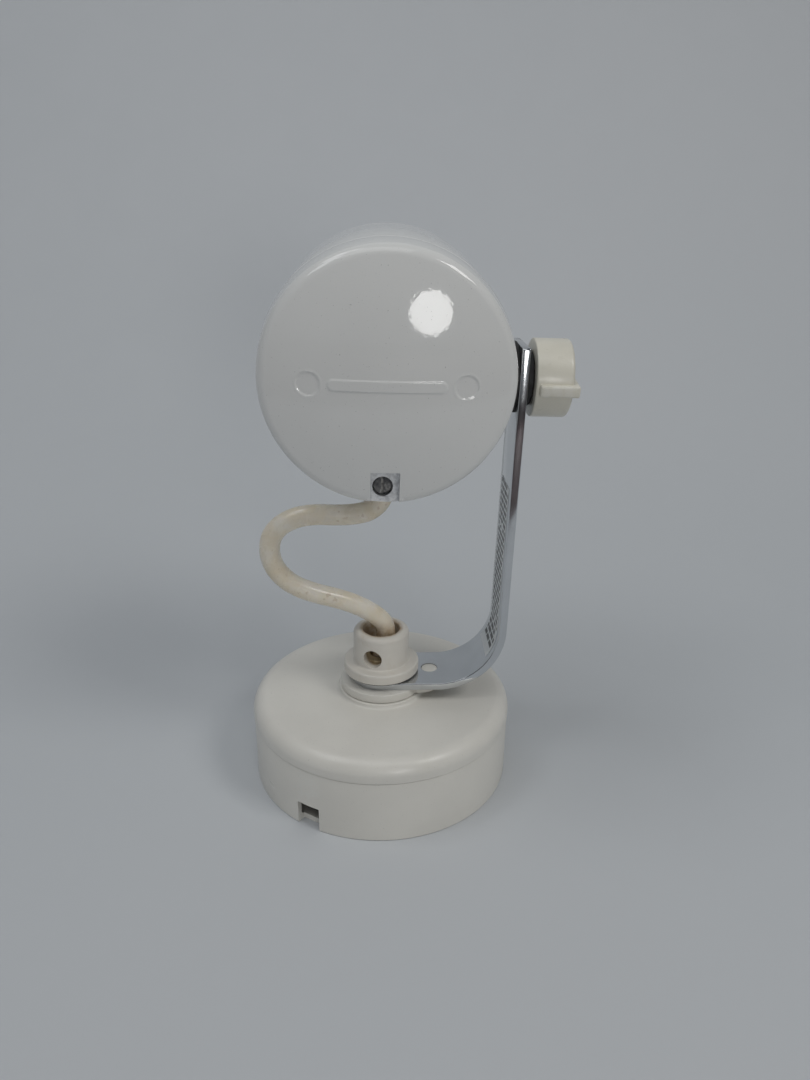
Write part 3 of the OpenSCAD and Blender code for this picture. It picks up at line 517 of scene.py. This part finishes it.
def printed_label():
    """Silver label with rows of plain bars where such a label has its print."""
    g = Graph("rating_label")
    n = g.node("ShaderNodeCombineXYZ")
    g.link(g.axis(1), n.inputs[0])
    g.link(g.axis(2), n.inputs[1])
    bricks = g.node("ShaderNodeTexBrick", offset=0.37, offset_frequency=2)
    for key, value in (("Scale", 1.0), ("Mortar Size", 0.0005), ("Mortar Smooth", 0.1), ("Bias", 0.0),
                       ("Brick Width", 0.0068), ("Row Height", 0.0030)):
        bricks.inputs[key].default_value = value
    g.link(n.outputs[0], bricks.inputs["Vector"])
    ink = g.math("SUBTRACT", 1.0, bricks.outputs["Fac"])
    ink = g.math("MULTIPLY", ink, g.ramp(g.noise(120, 1.0), 0.34, 0.37))
    border = g.math("MULTIPLY", g.ramp(g.math("ABSOLUTE", g.axis(1)), 0.0095, 0.0093),
                    g.ramp(g.axis(2), 0.0665, 0.0670))
    ink = g.math("MULTIPLY", ink, border)
    silver = g.mix(g.ramp(g.noise(60, 5), 0.3, 0.7), (0.72, 0.74, 0.75), (0.80, 0.82, 0.83))
    g.link(g.mix(g.math("MULTIPLY", ink, 0.95), silver, (0.02, 0.02, 0.022)), g.shader.inputs["Base Color"])
    g.link(g.ramp(g.noise(140, 5), 0.3, 0.7, 0.28, 0.42), g.shader.inputs["Roughness"])
    g.bump([(g.noise(300, 3), 6e-6)])
    g.shader.inputs["Metallic"].default_value = 0.15
    return g.material


CABLE = aged_cable()
LABEL = printed_label()

# ------------------------------------------------------------------ cable
ROUTE = [
    (0, 0, 20), (0, 0, 32), (0, 0, 44), (0, 0, 54), (0.8, -0.2, 62), (2.2, -0.5, 70), (1.2, -1.2, 76.5),
    (-2.5, -2, 81), (-7.5, -3, 85), (-14, -4.5, 89), (-22, -6, 92.5), (-30, -7.5, 95.5), (-38, -9, 99.5),
    (-44, -10, 104.5), (-48, -11, 111), (-49.4, -12, 118.5), (-47.8, -12.5, 126), (-43, -13, 131.5),
    (-36, -13, 134.8), (-28, -13, 136), (-20, -13, 135.8), (-12, -12.5, 136), (-5.5, -12, 137.5),
    (-1, -11.6, 141), (1.2, -11.3, 146), (1.5, -11.3, 151.5), (1.6, -11.5, 157), (1.7, -11.9, 163),
    (1.9, -12.2, 169),
]
CABLE_R = 4.6


def smooth_route(points, per=6):
    """A smooth curve through the points, as a list of vectors in metres."""
    p = [Vector(q) * MM for q in points]
    p = [2 * p[0] - p[1]] + p + [2 * p[-1] - p[-2]]
    out = []
    for i in range(1, len(p) - 2):
        for k in range(per):
            t = k / per
            out.append(0.5 * ((2 * p[i]) + (p[i + 1] - p[i - 1]) * t
                              + (2 * p[i - 1] - 5 * p[i] + 4 * p[i + 1] - p[i + 2]) * t * t
                              + (3 * p[i] - p[i - 1] - 3 * p[i + 1] + p[i + 2]) * t ** 3))
    return out + [p[-2]]


def tube(path, radius, sides=32):
    """A closed tube along path, whose rings don't twist. radius is in metres."""
    bm = bmesh.new()
    rings = []
    side = Vector((0, 1, 0))
    for i, here in enumerate(path):
        ahead = (path[min(i + 1, len(path) - 1)] - path[max(i - 1, 0)]).normalized()
        side = (side - side.dot(ahead) * ahead).normalized()
        other = ahead.cross(side)
        rings.append([bm.verts.new(here + radius * (math.cos(a) * side + math.sin(a) * other))
                      for a in (2 * math.pi * k / sides for k in range(sides))])
    for near, far in zip(rings, rings[1:]):
        for k in range(sides):
            bm.faces.new((near[k], near[(k + 1) % sides], far[(k + 1) % sides], far[k]))
    bm.faces.new(rings[0][::-1])
    bm.faces.new(rings[-1])
    return bm


def make_cable():
    path = smooth_route(ROUTE)[::-1]
    ob = piece("cable_sheath", tube(path, CABLE_R * MM), None, CABLE, ["cable"])
    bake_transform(ob)


make_cable()

# ------------------------------------------------------------------ base


def make_housing():
    wall = BASE_R - 2.5
    shell = lathe(soften([(11, 0, 0.2), (BASE_R, 0, 0.7), (BASE_R, HOUSING_H, 0.35), (wall, HOUSING_H, 0.25),
                          (wall, 2.5, 2.0), (11, 2.5, 0.2)]), around=240)
    slot = []
    for y in (-35, 35):
        corners = [(-2.5, y - 5, 2.49), (2.5, y - 5, 2.49), (2.5, y + 5, 2.49), (-2.5, y + 5, 2.49)]
        slot.append(("DIFFERENCE", slab(soften(corners, 8), -1, 4, 0.01)))
    notch = block((-5.8, -63.5, -1), (5.8, -57.7, 12), 0.3, turn(-32, "Z"))
    bm = carved(shell, ("DIFFERENCE", notch), *slot)
    for side in (-1, 1):
        for inner, low, high in ((11.2, 1, 19.5), (7, 19, 30)):
            block((min(side * inner, side * 15), -12, low), (max(side * inner, side * 15), 0.4, high), 0.2, bm=bm)
    joined(bm, rod(5, 1, 6, shift(30, 26, 0)))
    piece("housing_shell", bm, "base", IVORY, ["base_housing"])


def make_cover():
    inner = BASE_R - 2.7
    top = COVER_TOP
    rim = arc(BASE_R + 0.3 - 7, top - 7, 7, 86, 0, 18)
    profile = [(8.85, BOSS_TOP - 0.2), (9.05, BOSS_TOP)] + arc(20.7 - 0.7, BOSS_TOP - 0.7, 0.7, 90, 0, 5)
    profile += arc(20.7 + 1.7, top + 1.75, 1.7, 180, 264, 8) + rim
    profile += soften([(BASE_R + 0.3, top - 7), (BASE_R + 0.3, HOUSING_H + 0.12, 0.45), (inner, HOUSING_H + 0.12),
                       (inner, HOUSING_H - 5, 0.3), (inner - 2, HOUSING_H - 5, 0.3)])[1:]
    profile += arc(inner - 6, 34, 4, 0, 90, 6) + [(19.2, 38), (19.2, 34.5), (8.85, 34.5)]
    bm = lathe(profile, around=240)
    # two sink marks in the rounded rim and the trace of a moulding gate
    for v in bm.verts:
        for angle, z, r, deep in ((-84, 37.5, 1.3, 0.16), (-81.5, 36.6, 0.8, 0.12), (-58, 39.4, 1.1, 0.08)):
            a = math.radians(angle)
            spot = Vector((61.3 * math.cos(a), 61.3 * math.sin(a), z)) * MM
            near = (v.co - spot).length / (r * MM)
            if near < 2.5:
                v.co -= Vector((math.cos(a), math.sin(a), 0.5)) * deep * MM * math.exp(-near * near)
    piece("cover_shell", bm, "base", IVORY, ["base_cover"])


def make_ring():
    meet = math.degrees(math.asin(11 / 19.7))
    outline = arc(0, 0, 19.7, meet, 360 - meet, 72) + arc(18.5, 0, 11, -90, 90, 28)
    bm = slab(outline, RING_Z, FOOT_Z - 0.02, 0.45)
    bm = carved(bm, ("DIFFERENCE", rod(9.05, RING_Z - 1, FOOT_Z + 1)))
    joined(bm, clean(lathe(soften([(0, FOOT_Z - 1), (3.9, FOOT_Z - 1), (3.9, FOOT_Z + 3.3, 0.35), (0, FOOT_Z + 3.3)]),
                           shift(23.5, 0, 0), 48)))
    joined(bm, rod(1.8, BOSS_TOP - 1.2, RING_Z + 0.5, shift(15.2, 0, 0), 32))
    piece("ring_with_peg", bm, "arm", IVORY, ["stop_ring"])


def make_nut():
    bore = 8.83
    profile = soften([(bore, NUT_Z, 0.3), (18.1, NUT_Z, 0.7), (18.1, NUT_Z + 5, 1.1), (13.3, NUT_Z + 5, 0.9),
                      (13.3, NUT_TOP, 3.0), (bore, NUT_TOP, 0.8)], 8)
    holes = [("DIFFERENCE", rod(4.5, 6, 14.0, turn(-19 + back, "Z") @ shift(0, 0, 63) @ turn(90, "X"), 64, 0.9))
             for back in (0, 180)]
    piece("nut_with_flange", carved(lathe(profile, around=160), *holes), "clamp_nut", nut_with_painted_bore_shade(), ["clamp_nut"])


make_housing()
make_cover()
make_ring()
make_nut()

# ------------------------------------------------------------------ bracket


def bent(v):
    """A point of the flat bar, (along, across, up from its outer face) in mm, after the bend."""
    s, w, t = v
    end = math.pi / 2 - LEAN
    if s <= BEND_X:
        return Vector((s, w, FOOT_Z + t))
    past = (s - BEND_X) / BEND_R
    phi = min(past, end)
    rest = (past - phi) * BEND_R
    return Vector((BEND_X + (BEND_R - t) * math.sin(phi) + rest * math.cos(phi), w,
                   BEND_Z - (BEND_R - t) * math.cos(phi) + rest * math.sin(phi)))


def make_bracket():
    total = BEND_X + BEND_R * (math.pi / 2 - LEAN) + PIVOT_Z + 14.4 - BEND_Z
    outline = arc(0, 0, 15, 90, 270, 40) + soften([(0, -15), (total, -15, 1.2), (total, 15, 1.2), (0, 15)], 5)[1:-1]
    bm = slab(outline, 0, BAR_T, 0.42, steps=4)
    pivot = total - 14.4
    holes = [(0, 9.05), (23.5, 4.05), (pivot, 3.3)]
    bm = carved(bm, *[("DIFFERENCE", rod(r, -1, 5, shift(s, 0, 0), 64)) for s, r in holes])
    for k in range(1, 48):
        along = (BEND_X + k * BEND_R * (math.pi / 2 - LEAN) / 48 - 0.01) * MM
        bmesh.ops.bisect_plane(bm, geom=bm.verts[:] + bm.edges[:] + bm.faces[:], plane_co=(along, 0, 0),
                               plane_no=(1, 0, 0))
    for v in bm.verts:
        v.co = bent(v.co / MM) * MM
    piece("bracket_bar", bm, "arm", BAR_METAL, ["bracket"], 30)


def washer(name, x, r, thick, material, cad, soft=0.5):
    bm = lathe(soften([(3.3, x), (r, x, soft), (r, x + thick, soft), (3.3, x + thick)]), PIVOT, 96)
    piece(name, bm, "arm", material, [cad])


make_bracket()
washer("washer_inside", INNER_WASHER_X, 15.0, ARM_IN - INNER_WASHER_X, RUBBER, "inner_washer")
washer("washer_outside", ARM_OUT, 12.0, 3.0, RUBBER, "outer_washer", 0.9)

# ------------------------------------------------------------------ head


def make_drum():
    f = HEAD_FRONT
    profile = soften([(HEAD_IN, -SEAM_BACK, 0.3), (HEAD_R, -SEAM_BACK, 0.5), (HEAD_R, f - 3, 0.35),
                      (HEAD_IN, f - 3, 0.2), (HEAD_IN, f - 7.5), (HEAD_IN - 4.5, f - 7.5, 0.2),
                      (HEAD_IN - 4.5, f - 9, 0.2), (HEAD_IN, f - 13)])
    bm = lathe(profile, DRUM, 240)
    boss_turn = HEAD @ turn(90, "Y")
    boss = clean(lathe(soften([(0, 47.2), (13, 47.2), (13, BOSS_FACE, 0.8), (0, BOSS_FACE)]), boss_turn, 96))
    bottom = HEAD_RISE - HEAD_R
    steps = [("UNION", boss), ("DIFFERENCE", rod(3.1, 30, 60, boss_turn, 96)),
             ("DIFFERENCE", rod(6.2, bottom - 2, bottom + 8, HEAD @ shift(0, ENTRY_Y, 0), 64))]
    for around in (30, 150, 270):
        place = HEAD @ shift(0, f - 5.4, HEAD_RISE) @ turn(-around, "Y") @ turn(90, "Y")
        steps.append(("DIFFERENCE", rod(2.5, 49.65, 54, place, 40)))
        steps.append(("DIFFERENCE", rod(1.3, 45, 54, place, 24)))
    bm = carved(bm, *steps)
    block((-6.5, -SEAM_BACK, -43.8), (4.5, -22, -33.3), 0.3, HEAD, bm)
    for x in (-49.6, 40):
        block((x, -18.1, 1), (x + 9.6, -10.1, 11), 0.4, HEAD, bm)
    for x in (-11, 11):
        block((x - 3.6, -13.9, -42.4), (x + 3.6, -7.9, -27), 0.4, HEAD, bm)
    piece("drum_shell", bm, "head", HEAD_WHITE, ["head_drum"])


def step_down(value, edge, width):
    """1 below edge, 0 above edge + width, smooth between."""
    t = max(0.0, min(1.0, (edge + width - value) / width))
    return t * t * (3 - 2 * t)


def relief(x, z):
    """Height of the rear face's plain marks above the dome, in mm: two shallow discs and a raised bar."""
    high = 0.0
    for side in (-29.7, 29.7):
        away = math.hypot(x - side, z)
        high -= 0.30 * step_down(away, 4.15, 0.5) - 0.12 * step_down(abs(away - 4.9), 0.0, 0.55)
    away = math.hypot(x - max(-20.2, min(20.2, x)), z)
    return high + 0.30 * step_down(away, 1.85, 0.55)


def make_rear_cover():
    dome = arc(0, DOME_Y, DOME_R, -90, math.degrees(DOME_TURN) - 90, 112)
    rim = arc(FACE_R - RIM_R, RIM_R - HEAD_BACK, RIM_R, math.degrees(DOME_TURN) - 90, -8, 14)[1:]
    skirt = soften([rim[-1], (HEAD_R, -SEAM_BACK - 0.02, 0.5), (HEAD_IN - 0.3, -SEAM_BACK - 0.02),
                    (HEAD_IN - 0.3, -SEAM_BACK + 3, 0.3), (HEAD_IN - 1.8, -SEAM_BACK + 3, 0.3),
                    (HEAD_IN - 1.8, -SEAM_BACK - 3)])[1:]
    inside = arc(FACE_R - 6, 5.8 - HEAD_BACK, 4, 0, math.degrees(DOME_TURN) - 90, 6)
    inside += arc(0, DOME_Y, DOME_R - 2, math.degrees(DOME_TURN) - 91, -90, 8)
    bm = lathe(dome + rim + [tuple(p) for p in skirt] + inside, DRUM, 360)
    back = (Matrix.Scale(MM, 4) @ HEAD).inverted()
    ahead = Matrix.Scale(MM, 4) @ HEAD
    for v in bm.verts:
        p = back @ v.co
        if p.y < -HEAD_BACK and abs(p.z - HEAD_RISE) < 8:
            rise = relief(p.x, p.z - HEAD_RISE)
            if rise and p.y < DOME_Y - math.sqrt(DOME_R ** 2 - p.x ** 2 - (p.z - HEAD_RISE) ** 2) + 0.5:
                p.y -= rise
                v.co = ahead @ p
    box = block((-7.4, -40.6, HEAD_RISE - 47.6), (7.4, -30, HEAD_RISE - 32.4), 0.5, HEAD)
    pocket = block((-5.8, -60, HEAD_RISE - 60), (5.8, -36, HEAD_RISE - 34.8), 0.35, HEAD)
    hole = rod(4.2, 31.8, 42, HEAD @ shift(-1, 0, HEAD_RISE - 43.2) @ turn(90, "X"), 64)
    shank = rod(2.2, 25, 42, HEAD @ shift(-1, 0, HEAD_RISE - 43.2) @ turn(90, "X"), 32)
    bm = carved(bm, ("UNION", box), ("DIFFERENCE", pocket), ("DIFFERENCE", hole), ("DIFFERENCE", shank))
    ob = piece("rear_cover_shell", bm, "head", HEAD_WHITE, ["rear_cover"], 34)
    # the pocket's floor and one wall, and the screw's hole, are bare metal
    turn_to_head = HEAD.to_3x3().inverted()
    ob.data.materials.append(BARE)
    for f in ob.data.polygons:
        p = back @ f.center
        floor = -36.2 < p.y < -31
        wall = p.x > 5.7 and -43 < p.y < -31 and abs((turn_to_head @ f.normal).x) > 0.9
        if p.x < 5.9 and p.x > -5.7 and p.z < HEAD_RISE - 34.9 and (floor or wall):
            f.material_index = 1


def make_bezel():
    f = HEAD_FRONT
    profile = soften([(HEAD_IN - 5.5, f, 0.5), (HEAD_IN - 5.5, f - 1.8, 0.2), (HEAD_IN - 2.2, f - 1.8),
                      (HEAD_IN - 2.2, f - 7.4, 0.2), (HEAD_IN - 0.3, f - 7.4, 0.2), (HEAD_IN - 0.3, f - 2.98),
                      (HEAD_R, f - 2.98, 0.35), (HEAD_R, f, 2.2)], 7)
    piece("bezel_ring", lathe(profile, DRUM, 240), "head", HEAD_WHITE, ["front_bezel"])


def make_knob():
    bm = lathe(soften([(0, KNOB_X + 11.5), (4.9, KNOB_X + 11.5), (4.9, KNOB_X), (KNOB_R, KNOB_X, 0.7),
                       (KNOB_R, KNOB_END, 1.6), (0, KNOB_END)], 6), PIVOT, 160)
    bar = block((KNOB_X + 1.4, -18.6, -2.5), (KNOB_END + 2.2, 18.6, 2.5), 0.9,
                UPRIGHT @ shift(0, 0, PIVOT_Z) @ turn(8, "X"))
    bm = carved(bm, ("UNION", bar))
    piece("knob_body", bm, "knob", CREAM, ["knob"], 40)


make_drum()
make_rear_cover()
make_bezel()
make_knob()

# ------------------------------------------------------------------ CAD nodes that stay, with their materials
FINISH = {
    "cover_lock_screw": STEEL, "stem": STEM, "base_terminal_block": NYLON, "base_terminal_tubes": BRASS,
    "base_terminal_screws": STEEL, "base_terminal_fixing": STEEL, "base_earth_screw": BRASS,
    "base_cord_clamp": NYLON, "base_clamp_screws": STEEL, "base_core_live": CORE["brown"],
    "base_core_neutral": CORE["blue"], "base_core_earth": CORE["green"], "nut_washer": RUBBER,
    "rating_label": LABEL, "rear_cover_screw": DARK_STEEL, "bezel_screws": STEEL, "front_glass": GLASS,
    "glass_gasket": GREY_RUBBER, "reflector": REFLECTOR, "chassis_plate": PLATED, "chassis_screws": STEEL,
    "lampholder": CERAMIC, "lampholder_screws": STEEL, "lamp_capsule": QUARTZ, "lamp_filament": TUNGSTEN,
    "lamp_pins": STEEL, "head_terminal_block": NYLON, "head_terminal_tubes": BRASS,
    "head_terminal_screws": STEEL, "head_terminal_fixing": STEEL, "head_earth_screw": BRASS,
    "cable_grommet": RUBBER, "head_cord_clamp": NYLON, "head_clamp_screws": STEEL,
    "head_core_live": CORE["brown"], "head_core_neutral": CORE["blue"], "head_core_earth": CORE["green"],
    "lamp_lead_live": CORE["black"], "lamp_lead_neutral": CORE["white"], "pivot_stud": STEEL,
    "pivot_nut": STEEL, "knob_insert": BRASS,
}
for name, material in FINISH.items():
    for slot in nodes[name].material_slots:
        slot.material = material

# ------------------------------------------------------------------ studio


def make_studio():
    """A sweep of pale paper that curves up behind the object, on a dark table."""
    g = Graph("backdrop_paper")
    tone = g.mix(g.ramp(g.noise(1.1, 3, 0.5), 0.3, 0.7), (0.565, 0.590, 0.61), (0.595, 0.615, 0.635))
    g.link(g.mix(g.ramp(g.noise(9, 6, 0.6), 0.55, 0.8, 0.0, 0.12), tone, (0.52, 0.545, 0.57)),
           g.shader.inputs["Base Color"])
    g.link(g.ramp(g.noise(30, 4), 0.3, 0.7, 0.75, 0.9), g.shader.inputs["Roughness"])
    g.bump([(g.noise(500, 4), 2e-5)])
    bm = bmesh.new()
    profile = [(-470, 0), (-100, 0), (90, 0)] + arc(110, 560, 560, -90, -8, 32) + [(720, 2400)]
    rows = [[bm.verts.new(Vector((x, y, z)) * MM) for x in range(-1600, 1601, 200)] for y, z in profile]
    for near, far in zip(rows, rows[1:]):
        for k in range(len(near) - 1):
            bm.faces.new((near[k], near[k + 1], far[k + 1], far[k]))
    floor = piece("studio_floor", bm, None, g.material)
    # the paper ends in front of the object, and the dark table shows in the polished faces
    dark = surface("dark_table", (0.085, 0.058, 0.060), (0.75, 0.9), mottle=0.15, patch=12, grain=300, bump=2e-5)
    table = piece("studio_table", block((-2500, -2600, -12), (2500, -400, -0.5), 0.4), None, dark)


def area_light(name, at, aim, size, power, colour=(1, 1, 1), shape="SQUARE"):
    data = bpy.data.lights.new(name, "AREA")
    data.shape = shape
    data.size = size
    data.energy = power
    data.color = colour
    ob = bpy.data.objects.new(name, data)
    scene.collection.objects.link(ob)
    ob.location = at
    ob.rotation_euler = (Vector(aim) - Vector(at)).to_track_quat("-Z", "Y").to_euler()
    ob.visible_camera = False
    return ob


make_studio()
world = bpy.data.worlds.new("world")
world.use_nodes = True
world.node_tree.nodes["Background"].inputs["Color"].default_value = (0.88, 0.93, 1.0, 1)
world.node_tree.nodes["Background"].inputs["Strength"].default_value = 0.13
scene.world = world
scene.view_settings.view_transform = "Standard"
area_light("key_right", (0.85, -0.60, 1.20), (0, 0, 0.12), 0.45, 4.4, (1.0, 0.985, 0.955))
area_light("key_left", (-0.75, -0.45, 1.30), (0, 0, 0.12), 0.45, 1.9, (0.98, 0.99, 1.0))
area_light("ceiling", (-0.1, -0.75, 1.9), (0.1, 0.1, 0.2), 1.1, 4.4, (0.98, 0.99, 1.0))
area_light("wall_wash", (-0.6, 0.0, 1.5), (0.0, 0.7, 0.85), 0.5, 2.6, (0.96, 0.98, 1.0))
area_light("window", (0.324, -1.40, 0.312), (0, 0, 0.2), 0.32, 2.4, (1.0, 0.99, 0.97), "DISK")
